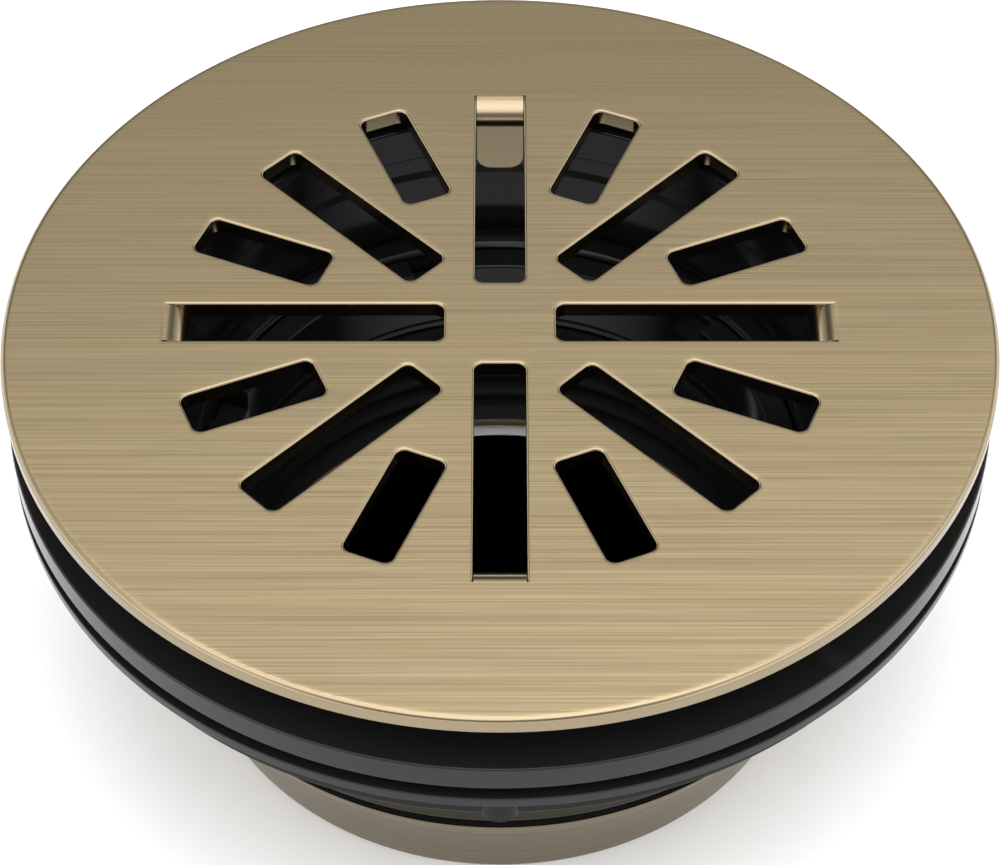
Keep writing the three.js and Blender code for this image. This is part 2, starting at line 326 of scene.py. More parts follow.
# fine mould grain with a few soft handling marks
def grainGroup():
    group, start, end = newGroup("mouldGrain", [
        ("Position", "NodeSocketVector", (0, 0, 0)),
        ("Grain Size", "NodeSocketFloat", 1.0),
        ("Mark Amount", "NodeSocketFloat", 0.5),
    ], [("Roughness Shift", "NodeSocketFloat"), ("Height", "NodeSocketFloat"),
        ("Tone", "NodeSocketFloat")])
    position = start.outputs["Position"]
    size = addNode(group, "ShaderNodeVectorMath", operation="SCALE")
    group.links.new(position, size.inputs[0])
    group.links.new(start.outputs["Grain Size"], size.inputs["Scale"])
    grain = noiseAt(group, size.outputs[0], *mouldNoise["grain"])
    cloud = noiseAt(group, position, *mouldNoise["cloud"])
    marks = remap(group, cloud, *mouldNoise["markRange"], 0.0, 1.0)
    shift = doMath(group, "MULTIPLY", marks, start.outputs["Mark Amount"])
    group.links.new(shift, end.inputs["Roughness Shift"])
    group.links.new(grain, end.inputs["Height"])
    group.links.new(cloud, end.inputs["Tone"])
    return group


flatFace = 0.5                  # pointiness where a face is flat
wearFade = 0.12                 # pointiness over which the wear comes in


# lighter, worn tone where an edge turns sharply outwards
def edgeWearGroup():
    group, start, end = newGroup("edgeWear", [
        ("Amount", "NodeSocketFloat", 0.5),
        ("Width", "NodeSocketFloat", 0.02),
    ], [("Mask", "NodeSocketFloat")])
    geometry = addNode(group, "ShaderNodeNewGeometry")
    low = doMath(group, "ADD", flatFace, start.outputs["Width"])
    high = doMath(group, "ADD", low, wearFade)
    edge = remap(group, geometry.outputs["Pointiness"], low, high, 0.0, 1.0)
    mask = doMath(group, "MULTIPLY", edge, start.outputs["Amount"], True)
    group.links.new(mask, end.inputs["Mask"])
    return group


brushing = brushingGroup()
lathing = lathingGroup()
mouldGrain = grainGroup()
edgeWear = edgeWearGroup()


def groupNode(tree, group, **values):
    node = addNode(tree, "ShaderNodeGroup", node_tree=group)
    for label, value in values.items():
        socket = node.inputs[label.replace("_", " ")]
        if isinstance(value, (int, float)):
            socket.default_value = value
        else:
            tree.links.new(value, socket)
    return node


def newMaterial(name):
    material = bpy.data.materials.new(name)
    material.use_nodes = True
    tree = material.node_tree
    shader = tree.nodes["Principled BSDF"]
    place = addNode(tree, "ShaderNodeTexCoord").outputs["Object"]
    return material, tree, shader, place


def mixColour(tree, share, first, second):
    node = addNode(tree, "ShaderNodeMix", data_type="RGBA")
    sockets = (node.inputs[0], node.inputs[6], node.inputs[7])
    for socket, value in zip(sockets, (share, first, second)):
        if isinstance(value, (int, float)):
            socket.default_value = value
        elif isinstance(value, tuple):
            socket.default_value = (*value, 1)
        else:
            tree.links.new(value, socket)
    return node.outputs[2]


def bump(tree, height, relief, shader):
    strength, distance = relief
    node = addNode(tree, "ShaderNodeBump")
    node.inputs["Strength"].default_value = strength
    node.inputs["Distance"].default_value = distance
    tree.links.new(height, node.inputs["Height"])
    tree.links.new(node.outputs[0], shader.inputs["Normal"])


# Materials

goldLook = {
    "light": (0.560, 0.443, 0.264),
    "dark": (0.262, 0.206, 0.120),
    "polished": (0.272, 0.219, 0.140),
    # the tail collar's gold, a darker copy of the grate's gold: painted shade under the flange
    "tailShadeLight": (0.190, 0.149, 0.085),
    "tailShadeDark": (0.130, 0.102, 0.057),
    "shadedLight": (0.040, 0.033, 0.022),   # the lock ring's gold, painted dark as shade under the nut
    "shadedDark": (0.024, 0.020, 0.014),
    "brushedRoughness": (0.28, 0.42),
    "polishedRoughness": 0.20,
    "satinRoughness": (0.42, 0.3),          # on the lathe's lines, and between them
    "streakShare": 0.14,
    "toneShares": (0.8, 0.2),               # of the brush lines and the slow drift
    "uprightRange": (0.97, 0.995),          # how upright a face is where the brushing comes in
    "brushedRelief": (0.25, 0.00002),       # bump strength, and distance in metres
    "satinRelief": (0.2, 0.00002),
}

blackLook = {
    "mould": ((0.0085, 0.0085, 0.0087), (0.0120, 0.0120, 0.0124)),
    "worn": (0.030, 0.030, 0.031), "wornAmount": 0.35, "wornWidth": 0.05,
    "mouldMarks": 0.06,
    "gloss": {"roughness": 0.11, "specular": 0.20},
    # the nut's copy: a satin finish, with its specular turned down as painted shade under the flange
    "shadedSatin": {"roughness": 0.30, "specular": 0.06},
    "rubber": ((0.0035, 0.0035, 0.0036), (0.0065, 0.0065, 0.0066)),
    "rubberGrain": 1.4, "rubberMarks": 0.12, "rubberRoughness": 0.58, "rubberSpecular": 0.1,
    "mouldRelief": (0.05, 0.00001),         # bump strength, and distance in metres
    "rubberRelief": (0.3, 0.00002),
}


def brushedGold():
    material, tree, shader, place = newMaterial("brushedGold")
    lines = groupNode(tree, brushing, Position=place, Line_Depth=1.0,
                      Streak_Share=goldLook["streakShare"])
    geometry = addNode(tree, "ShaderNodeNewGeometry")
    facing = addNode(tree, "ShaderNodeSeparateXYZ")
    tree.links.new(geometry.outputs["Normal"], facing.inputs[0])
    upright = doMath(tree, "ABSOLUTE", facing.outputs[2])
    flat = remap(tree, upright, *goldLook["uprightRange"], 0.0, 1.0)
    lineShare, driftShare = goldLook["toneShares"]
    tone = weighted(tree, lines.outputs["Tone"], lineShare, lines.outputs["Drift"], driftShare)
    brushed = mixColour(tree, tone, goldLook["dark"], goldLook["light"])
    colour = mixColour(tree, flat, goldLook["polished"], brushed)
    tree.links.new(colour, shader.inputs["Base Color"])
    low, high = goldLook["brushedRoughness"]
    rough = remap(tree, lines.outputs["Tone"], 0.0, 1.0, high, low)
    notFlat = doMath(tree, "SUBTRACT", 1.0, flat)
    roughness = weighted(tree, rough, flat, notFlat, goldLook["polishedRoughness"])
    tree.links.new(roughness, shader.inputs["Roughness"])
    shader.inputs["Metallic"].default_value = 1.0
    height = doMath(tree, "MULTIPLY", lines.outputs["Height"], flat)
    bump(tree, height, goldLook["brushedRelief"], shader)
    return material


def satinGold(name, dark, light):
    material, tree, shader, place = newMaterial(name)
    lines = groupNode(tree, lathing, Position=place, Line_Depth=1.0)
    tone = lines.outputs["Tone"]
    tree.links.new(mixColour(tree, tone, dark, light), shader.inputs["Base Color"])
    roughness = remap(tree, tone, 0.0, 1.0, *goldLook["satinRoughness"])
    tree.links.new(roughness, shader.inputs["Roughness"])
    shader.inputs["Metallic"].default_value = 1.0
    bump(tree, lines.outputs["Height"], goldLook["satinRelief"], shader)
    return material


def blackMoulding(name, roughness, specular):
    material, tree, shader, place = newMaterial(name)
    grain = groupNode(tree, mouldGrain, Position=place, Grain_Size=1.0,
                      Mark_Amount=blackLook["mouldMarks"])
    worn = groupNode(tree, edgeWear, Amount=blackLook["wornAmount"], Width=blackLook["wornWidth"])
    base = mixColour(tree, grain.outputs["Tone"], *blackLook["mould"])
    colour = mixColour(tree, worn.outputs["Mask"], base, blackLook["worn"])
    tree.links.new(colour, shader.inputs["Base Color"])
    shifted = doMath(tree, "ADD", roughness, grain.outputs["Roughness Shift"])
    tree.links.new(shifted, shader.inputs["Roughness"])
    shader.inputs["Specular IOR Level"].default_value = specular
    bump(tree, grain.outputs["Height"], blackLook["mouldRelief"], shader)
    return material


def blackRubber(name, specular):
    material, tree, shader, place = newMaterial(name)
    grain = groupNode(tree, mouldGrain, Position=place, Grain_Size=blackLook["rubberGrain"],
                      Mark_Amount=blackLook["rubberMarks"])
    base = mixColour(tree, grain.outputs["Tone"], *blackLook["rubber"])
    tree.links.new(base, shader.inputs["Base Color"])
    shifted = doMath(tree, "ADD", blackLook["rubberRoughness"], grain.outputs["Roughness Shift"])
    tree.links.new(shifted, shader.inputs["Roughness"])
    shader.inputs["Specular IOR Level"].default_value = specular
    bump(tree, grain.outputs["Height"], blackLook["rubberRelief"], shader)
    return material


goldTop = brushedGold()
# the tail collar's gold is painted darker, as shade under the flange
goldTail = satinGold("satinGold", goldLook["tailShadeDark"], goldLook["tailShadeLight"])
# the lock ring's gold: a much darker copy, painted shade where it sits under the nut
goldRing = satinGold("shadedGold", goldLook["shadedDark"], goldLook["shadedLight"])
blackPlastic = blackMoulding("glossBlack", **blackLook["gloss"])
# the nut's black: a satin copy of the moulding, made less reflective as painted shade under the flange
nutPlastic = blackMoulding("shadedSatinBlack", **blackLook["shadedSatin"])
rubber = blackRubber("darkRubber", blackLook["rubberSpecular"])
# the joint washer's rubber: a copy with no specular at all, as painted shade under the nut
shadedRubber = blackRubber("shadedRubber", 0.0)
print("materials made")


# Grate

grate = {
    "thickness": 2.0,
    "rimFillet": 0.7,
    "underFillet": 0.25,
    "slotWidth": 5.5,
    "slotCorner": 1.0,
    "slotEdge": 0.28,           # rounding along the slots' upper edges
    "land": 0.35,               # flat strip beside every rounding, so that the top shades evenly
    "longSlot": (6.1, 36.5),
    "diagonalSlot": (11.2, 35.8),
    "shortSlot": (20.9, 35.8),
    "underChamfer": 0.1,        # round the slots' lower edges
    "rimSteps": 288, "arcSteps": 6, "cornerSteps": 6,
}
arcMiddle = 0.3                 # how far in a quarter round is at its middle, as a share of its size
slotEdgeForm = ((1, 0), (0.62, 0.08), (arcMiddle, arcMiddle), (0.08, 0.62), (0, 1))

tab = {
    "inner": 33.9,              # radius of the face turned to the axis
    "bend": 2.6,                # outside radius where the tab leaves the plate
    "corner": 1.7,
    "edge": 0.14,
    "root": 0.7,                # how far it runs into the plate
    "rootInset": 0.05,          # how far the root keeps from the plate's faces
    "softUpTo": 0.5,            # the edges are rounded this far into the root
    "sideGap": 0.06,            # both sides together
    "outerSteps": 14, "innerSteps": 6,
}


# a slot's outline, let out by some margin, except at a square end where a tab begins
def slotOutline(start, end, margin, square):
    half = grate["slotWidth"] / 2
    corner = grate["slotCorner"]
    points = []
    corners = [(start + corner, half - corner, 90), (start + corner, -half + corner, 180)]
    if not square:
        corners += [(end - corner, -half + corner, 270), (end - corner, half - corner, 0)]
    for x, y, first in corners:
        for k in range(grate["cornerSteps"] + 1):
            a = math.radians(first + 90 * k / grate["cornerSteps"])
            reach = corner + margin
            points.append((x + reach * math.cos(a), y + reach * math.sin(a)))
    if square:
        points += [(end, -half - margin), (end, half + margin)]
    return points


def slotPlan():
    quarter = fullTurn / 4
    for i in range(4):
        yield grate["longSlot"], True, i * quarter
        yield grate["diagonalSlot"], False, (i + 0.5) * quarter
        yield grate["shortSlot"], False, (i + 0.25) * quarter
        yield grate["shortSlot"], False, (i + 0.75) * quarter


# angles from one end of a quarter turn to the other
def quarterAngles(steps):
    return [fullTurn / 4 * k / steps for k in range(steps + 1)]


# a tab's side view runs round its bend, down to its foot and back, and is then given its width
def tabStrip(top, foot):
    thickness, inner, bend = grate["thickness"], tab["inner"], tab["bend"]
    start = inner + bend
    root = start + tab["root"]
    small = bend - thickness
    side = [(root, top - tab["rootInset"]), (start, top)]
    side += [(start - bend * math.sin(a), top - bend + bend * math.cos(a))
             for a in quarterAngles(tab["outerSteps"])[1:]]
    side += [(inner, foot), (inner + thickness, foot)]
    side += [(start - small * math.cos(a), top - bend + small * math.sin(a))
             for a in quarterAngles(tab["innerSteps"])]
    side += [(root, top - thickness + tab["rootInset"])]
    width = grate["slotWidth"] - tab["sideGap"]
    bm = prism(side, -width / 2, width / 2)
    upright = Matrix.Rotation(math.pi / 2, 3, "X")
    bmesh.ops.rotate(bm, verts=bm.verts, cent=(0, 0, 0), matrix=upright)

    def atFoot(edge):
        a, b = (v.co for v in edge.verts)
        return max(abs(a.z - foot), abs(b.z - foot), abs(a.y - b.y)) < samePlace

    bmesh.ops.bevel(bm, geom=[e for e in bm.edges if atFoot(e)], offset=tab["corner"], segments=8,
                    profile=0.5, affect="EDGES")
    softEnd = start + tab["softUpTo"]
    softenEdges(bm, tab["edge"], 3, 50, keep=lambda e: max(v.co.x for v in e.verts) < softEnd)
    return bm


def buildGrate():
    foot, top, radius = span("grate_plate")
    thickness = grate["thickness"]
    fillet = grate["rimFillet"]
    under = grate["underFillet"]
    edge = grate["slotEdge"]
    land = grate["land"]
    chamfer = grate["underChamfer"]
    bm = bmesh.new()

    def loop(points, height, place=Matrix()):
        return [bm.verts.new(place @ Vector((x, y, height))) for x, y in points]

    def bridge(first, second):
        for k in range(len(first)):
            j = (k + 1) % len(first)
            bm.faces.new((first[k], first[j], second[j], second[k]))

    def circle(r):
        turns = [fullTurn * i / grate["rimSteps"] for i in range(grate["rimSteps"])]
        return [(r * math.cos(a), r * math.sin(a)) for a in turns]

    low = top - thickness
    levels = [(radius - fillet - land, top)]
    levels += [(radius - fillet + fillet * math.sin(a), top - fillet + fillet * math.cos(a))
               for a in quarterAngles(grate["arcSteps"])]
    levels += [(radius, low + under), (radius - under * arcMiddle, low + under * arcMiddle),
               (radius - under, low)]
    rims = [loop(circle(r), z) for r, z in levels]
    for first, second in zip(rims, rims[1:]):
        bridge(first, second)
    upper, lower = [rims[0]], [rims[-1]]
    cuts = [(edge * outward, edge * down) for outward, down in slotEdgeForm]
    cuts += [(0, thickness - chamfer), (chamfer, thickness)]
    for (start, end), square, angle in slotPlan():
        place = turnedBy(angle)
        landEnd = end + land if square else end
        holes = [loop(slotOutline(start, landEnd, edge + land, square), top, place)]
        holes += [loop(slotOutline(start, end, margin, square), top - drop, place)
                  for margin, drop in cuts]
        for first, second in zip(holes, holes[1:]):
            bridge(first, second)
        upper.append(holes[0])
        lower.append(holes[-1])
    for loops, facing in ((upper, 1), (lower, -1)):
        edges = [bm.edges.get((ring[k], ring[(k + 1) % len(ring)]))
                 for ring in loops for k in range(len(ring))]
        bmesh.ops.triangle_fill(bm, use_beauty=True, use_dissolve=False, edges=edges,
                                normal=(0, 0, facing))
    bmesh.ops.recalc_face_normals(bm, faces=bm.faces)
    for i in range(4):
        merged(bm, tabStrip(top, foot), turnedBy(i * fullTurn / 4))
    return asPiece("gratePlate", bm, "grate", goldTop, ["grate_plate"], sharp=30)


buildGrate()
print("grate built")


# Riser, with its seal, cushion and lock ring

riser = {
    "bore": 36.4, "barrel": 39.7, "flangeThickness": 2.7,
    "grooveDepth": 1.9, "grooveRoom": 0.2,              # the groove for the ring seal
    "pitch": 4.0, "threadDepth": 0.7, "threadMargins": (0.8, 0.6),
    "seatOuter": 1.6, "seatInner": 1.3, "seatDepth": 0.5,               # the step under the grate
    "snapDepth": 0.5, "snapTop": (5.2, 5.8), "snapFoot": (8.0, 8.6),    # the groove for the tabs
}
ringSeal = {"steps": 20, "squeeze": 0.98}
cushion = {"inset": 2, "lands": 4, "grooveHalf": 0.35, "grooveDepth": 0.25}
lockRing = {
    "bore": 40.0, "notches": 6, "notchReach": math.radians(2.3), "notchDepth": 1.5,
    "notchedWidth": 2.2,        # only points this close to the rim are moved
    "firstNotch": fullTurn / 12,
}


def buildRiser():
    foot, top, flange = span("riser")
    sealFoot, sealTop = span("riser_seal")[:2]
    bore, barrel = riser["bore"], riser["barrel"]
    grooveFoot, grooveTop = sealFoot - riser["grooveRoom"], sealTop + riser["grooveRoom"]
    grooveFloor = barrel - riser["grooveDepth"]
    flangeFoot = top - riser["flangeThickness"]
    footMargin, topMargin = riser["threadMargins"]
    threadLow, threadHigh = grooveTop + footMargin, flangeFoot - topMargin
    seatFloor = top - riser["seatDepth"]
    snap = bore + riser["snapDepth"]
    snapStart, snapTop = riser["snapTop"]
    snapFoot, snapEnd = riser["snapFoot"]
    outline = rounded([
        (bore, foot, 0.4), (barrel, foot, 0.5), (barrel, grooveFoot, 0.15),
        (grooveFloor, grooveFoot, 0.3), (grooveFloor, grooveTop, 0.3),
        (barrel, grooveTop, 0.15), *wall(barrel, threadLow, threadHigh),
        (barrel, flangeFoot, 0.3), (flange, flangeFoot, 0.3), (flange, top, 0.4),
        (bore + riser["seatOuter"], top, 0.1), (bore + riser["seatInner"], seatFloor, 0.1),
        (bore, seatFloor, 0.3),
        (bore, top - snapStart, 0.1), (snap, top - snapTop, 0.1),
        (snap, top - snapFoot, 0.1), (bore, top - snapEnd, 0.1),
    ])
    screw = thread(barrel, threadLow, threadHigh, riser["pitch"], riser["threadDepth"])
    asPiece("riserSleeve", turned(outline, count=240, waves=[screw]), "riser",
            blackPlastic, ["riser"])


def buildRiserSeal():
    foot, top, radius = span("riser_seal")
    middle = (foot + top) / 2
    size = (top - foot) / 2
    turns = [fullTurn * k / ringSeal["steps"] for k in range(ringSeal["steps"])]
    outline = [(radius - size + size * math.cos(a) * ringSeal["squeeze"], middle + size * math.sin(a))
               for a in turns]
    asPiece("riserSeal", turned(outline, count=200), "riser_seal", rubber, ["riser_seal"])


def buildCushion():
    foot, top, radius = span("grate_cushion")
    inner = riser["bore"] + cushion["inset"]
    half = cushion["grooveHalf"]
    points = [(inner, foot, 0.15), (radius, foot, 0.15), (radius, top, 0.2)]
    step = (radius - inner) / cushion["lands"]
    for i in range(cushion["lands"] - 1, 0, -1):
        groove = inner + i * step
        points += [(groove + half, top, 0.1), (groove, top - cushion["grooveDepth"], 0.1),
                   (groove - half, top, 0.1)]
    points += [(inner, top, 0.2)]
    asPiece("grateCushion", turned(rounded(points, 3), count=200), "riser", rubber,
            ["grate_cushion"])


def buildRiserLockRing():
    foot, top, radius = span("riser_lock_ring")
    inner = lockRing["bore"]
    sector = fullTurn / lockRing["notches"]

    def notch(angle, r, z):
        away = (angle - lockRing["firstNotch"] + sector / 2) % sector - sector / 2
        share = max(0, 1 - (away / lockRing["notchReach"]) ** 2)
        if r > radius - lockRing["notchedWidth"]:
            r -= lockRing["notchDepth"] * math.sqrt(share)
        return r, z

    outline = rounded([(inner, foot, 0.2), (radius, foot, 0.25), (radius, top, 0.25),
                       (inner, top, 0.2)])
    asPiece("riserLockRing", turned(outline, count=540, waves=[notch]), "riser_lock_ring",
            blackPlastic, ["riser_lock_ring"])


buildRiser()
buildRiserSeal()
buildCushion()
buildRiserLockRing()
print("riser built")


# Drain body

body = {
    "hubBore": 34.4, "hubRadius": 36.2, "barrel": 41.7, "riserBore": 40.0, "flangeThickness": 3.2,
    "neckDepth": 1.5, "barrelLength": 14.2, "neckFoot": 21.5, "ledge": 29.7, "ledgeFall": 0.8,
    "boreLead": (0.6, 0.7), "hubLead": 0.5,             # the slanted starts of the two bores
    "barrelPitch": 3.0, "barrelThread": 0.7, "barrelMargins": (0.4, 1.0),
    "borePitch": 4.0, "boreThread": -0.6, "boreMargins": (1.2, 1.2),
    "hubPitch": 3.0, "hubThread": -0.6, "hubMargins": (10.5, 0.6),
}


def buildDrainBody():
    foot, top, flange = span("drain_body")
    flangeFoot = top - body["flangeThickness"]
    barrelFoot = flangeFoot - body["barrelLength"]
    barrel, bore, hub, hubRadius = body["barrel"], body["riserBore"], body["hubBore"], body["hubRadius"]
    neck, neckFoot = barrel - body["neckDepth"], body["neckFoot"]
    ledge = body["ledge"]
    hubTop = ledge - body["ledgeFall"]
    leadOut, leadDown = body["boreLead"]
    hubLead = body["hubLead"]

    def within(low, high, margins):
        return low + margins[0], high - margins[1]

    outside = within(barrelFoot, flangeFoot, body["barrelMargins"])
    inside = within(ledge, top, body["boreMargins"])
    lower = within(foot, hubTop, body["hubMargins"])
    outline = rounded([
        (hub, foot, 0.3), (hubRadius, foot, 0.4), (hubRadius, neckFoot, 0.2),
        (neck, neckFoot, 0.4), (neck, barrelFoot - body["neckDepth"], 0.3), (barrel, barrelFoot, 0.3),
        *wall(barrel, *outside),
        (barrel, flangeFoot, 0.6), (flange, flangeFoot, 0.2), (flange, top, 0.25),
        (bore + leadOut, top, 0.1), (bore, top - leadDown, 0.1), *wall(bore, *inside[::-1]),
        (bore, ledge, 0.6), (hub + hubLead, hubTop, 0.2),
        (hub, hubTop - hubLead, 0.1), *wall(hub, *lower[::-1]),
    ])
    waves = [thread(barrel, *outside, body["barrelPitch"], body["barrelThread"]),
             thread(bore, *inside, body["borePitch"], body["boreThread"]),
             thread(hub, *lower, body["hubPitch"], body["hubThread"])]
    asPiece("drainBody", turned(outline, count=288, waves=waves), "body",
            blackPlastic, ["drain_body"])


buildDrainBody()
print("drain body built")


# Clamping below the floor

clamp = {
    "bore": 42.0, "rimWidth": 2.0, "plateThickness": 1.6, "hubWall": 3.2, "rimHeight": 3.75,
    "lead": (0.4, 0.5),         # the slanted start of the nut's bore
    "ribs": 12, "ribWidth": 1.6, "ribEdge": 0.2,
    "ribRoot": 0.4,             # how far a rib runs into the hub
    "ribShort": 0.6,            # share of the rim's width that a rib stays away from
    "ribFoot": 0.4, "ribTop": 0.5,      # above the rim's foot, and into the plate
    "lugs": 4, "lugRadius": 2.25, "lugInset": 1.2, "lugSteps": 40, "lugEdge": 0.3,
    "lugRoot": 0.8,             # share of the rim's width that a lug runs into
    "lugDrop": 0.1,
}
gasket = {"edge": 0.5, "edgeRise": 0.3, "waist": 0.35}


def buildFloorGasket():
    foot, top, radius = span("floor_gasket")
    bore, edge, rise = clamp["bore"], radius - gasket["edge"], gasket["edgeRise"]
    outline = rounded([
        (bore, foot, 0.2), (edge, foot, 0.3), (radius, foot + rise, 0.2),
        (radius - gasket["waist"], (foot + top) / 2, 0.15),
        (radius, top - rise, 0.2), (edge, top, 0.3), (bore, top, 0.2),
    ])
    asPiece("floorGasket", turned(outline, count=240), "body", rubber, ["floor_gasket"])


def buildFrictionWasher():
    foot, top, radius = span("friction_washer")
    bore = clamp["bore"]
    outline = rounded([(bore, foot, 0.2), (radius, foot, 0.15), (radius, top, 0.15), (bore, top, 0.2)])
    asPiece("frictionWasher", turned(outline, count=288), "friction_washer",
            blackPlastic, ["friction_washer"])


def buildRetainingNut():
    foot, top, rim = span("retaining_nut")
    rim -= clamp["lugRadius"] - clamp["lugInset"]
    rimWidth = clamp["rimWidth"]
    rimFoot = top - clamp["rimHeight"]
    rimInner = rim - rimWidth
    bore = clamp["bore"]
    hub = bore + clamp["hubWall"]
    plateFoot = top - clamp["plateThickness"]
    leadOut, leadUp = clamp["lead"]
    outline = rounded([
        (bore + leadOut, foot, 0.2), (hub, foot, 0.5), (hub, plateFoot, 0.5),
        (rimInner, plateFoot, 0.4), (rimInner, rimFoot, 0.4), (rim, rimFoot, 0.4),
        (rim, top, 0.2), (bore, top, 0.2), (bore, foot + leadUp, 0.2),
    ])
    bm = turned(outline, count=288)
    ribEnd = rim - rimWidth * clamp["ribShort"]
    ribStart = hub - clamp["ribRoot"]
    half = clamp["ribWidth"] / 2
    for i in range(clamp["ribs"]):
        flat = [(ribStart, -half), (ribEnd, -half), (ribEnd, half), (ribStart, half)]
        rib = prism(flat, rimFoot + clamp["ribFoot"], plateFoot + clamp["ribTop"])
        softenEdges(rib, clamp["ribEdge"], 2)
        merged(bm, rib, turnedBy((i + 0.5) * fullTurn / clamp["ribs"]))
    size = clamp["lugRadius"]
    lugRoot = rim - rimWidth * clamp["lugRoot"]
    turns = [fullTurn * k / clamp["lugSteps"] for k in range(clamp["lugSteps"])]
    for i in range(clamp["lugs"]):
        flat = [(rim - clamp["lugInset"] + size * math.cos(a), size * math.sin(a)) for a in turns]
        flat = [(max(x, lugRoot), y) for x, y in flat]
        flat = [p for k, p in enumerate(flat) if (Vector(p) - Vector(flat[k - 1])).length > samePlace]
        lug = prism(flat, rimFoot, top - clamp["lugDrop"])
        softenEdges(lug, clamp["lugEdge"], 3, 60)
        merged(bm, lug, turnedBy(i * fullTurn / clamp["lugs"]))
    asPiece("retainingNut", bm, "retaining_nut", nutPlastic, ["retaining_nut"])


buildFloorGasket()
buildFrictionWasher()
buildRetainingNut()
print("clamping built")


# Tail

tail = {
    "bore": 36.5, "lowBore": 34.4, "lipBore": 31.0, "lip": 1.6, "chamfer": 3.05,
    "chamferWidth": 1.5, "seat": 8.7, "footRadius": 35.85, "washerTaper": 0.75,
    "ringFoot": (0.4, 0.5), "ringTop": (0.5, 0.6),      # the lock ring's chamfers, inward and along
}


def buildTailLockRing():
    foot, top, radius = span("tail_lock_ring")
    bore = tail["bore"]
    footIn, footRise = tail["ringFoot"]
    topIn, topFall = tail["ringTop"]
    outline = rounded([
        (bore, foot, 0.2), (radius - footIn, foot, 0.2), (radius, foot + footRise, 0.2),
        (radius, top - topFall, 0.2), (radius - topIn, top, 0.2), (bore, top, 0.2),
    ])
    asPiece("tailLockRing", turned(outline, count=256), "tail_lock_ring", goldRing,
            ["tail_lock_ring"])


def buildJointWasher():
    foot, top, radius = span("joint_washer")
    bore = tail["bore"]
    outline = rounded([(bore, foot, 0.2), (radius - tail["washerTaper"], foot, 0.3),
                       (radius, top, 0.35), (bore, top, 0.2)])
    asPiece("jointWasher", turned(outline, count=256), "joint_washer", shadedRubber,
            ["joint_washer"])


def buildTailCollar():
    foot, top, radius = span("tail_collar")
    bore, lowBore, lipBore = tail["bore"], tail["lowBore"], tail["lipBore"]
    seat, lip = tail["seat"], tail["lip"]
    outline = rounded([
        (lipBore, foot, 0.2), (tail["footRadius"], foot, 0.35),
        (radius - tail["chamferWidth"], top - tail["chamfer"], 0.25), (radius, top, 0.25),
        (bore, top, 0.25), (bore, seat, 0.1), (lowBore, seat, 0.2), (lowBore, lip, 0.2),
        (lipBore, lip, 0.2),
    ])
    asPiece("tailCollar", turned(outline, count=256), "tail_collar", goldTail,
            ["tail_collar"])


buildTailLockRing()
buildJointWasher()
buildTailCollar()
print("tail built")


# Pipe seal

seal = {
    "bore": 30.25, "ribs": 5, "ribDepth": 1.2, "lead": 0.9,
    "ribSpan": (0.48, 0.86),            # a rib's foot and top, as shares of the ribs' spacing
    "grooveSpan": (0.02, 0.24),         # the groove's foot and top
    "grooveFootShare": 0.8,             # how deep its foot is, as a share of ribDepth
    "slipBore": 31.2, "nutBore": 31.0, "nutPitch": 3.0, "nutThread": 0.6,
    "nutMargins": (0.5, 0.4), "nutSteps": 240,
    "wrenchSlots": 6, "wrenchWidth": 5.0, "wrenchDepth": 2.6, "firstSlot": fullTurn / 8,
    "slotFlank": 0.006,                 # turning angle over which a wrench slot's side falls
    "flankSteps": (-0.6, -0.3, 0, 0.3, 0.6),
    "leastStep": 0.0012,
}


def buildPipeGasket():
    foot, top, radius = span("pipe_gasket")
    spacing = (top - foot) / seal["ribs"]
    bore, depth = seal["bore"], seal["ribDepth"]
    ribFoot, ribTop = seal["ribSpan"]
    grooveFoot, grooveTop = seal["grooveSpan"]
    points = [(radius, foot, 0.3), (radius, top, 0.4), (bore + seal["lead"], top, 0.3)]
    for i in range(seal["ribs"] - 1, -1, -1):
        base = foot + i * spacing
        points += [(bore, base + spacing * ribTop, 0.35), (bore, base + spacing * ribFoot, 0.3)]
        if i > 0:
            points += [(bore + depth, base + spacing * grooveTop, 0.3),
                       (bore + depth * seal["grooveFootShare"], base + spacing * grooveFoot, 0.3)]
    points += [(bore, foot, 0.3)]
    asPiece("pipeGasket", turned(rounded(points), count=240), "body", rubber,
            ["pipe_gasket"])


def buildSlipWasher():
    foot, top, radius = span("slip_washer")
    bore = seal["slipBore"]
    outline = rounded([(bore, foot, 0.2), (radius, foot, 0.2), (radius, top, 0.2), (bore, top, 0.2)])
    asPiece("slipWasher", turned(outline, count=240), "slip_washer", blackPlastic,
            ["slip_washer"])


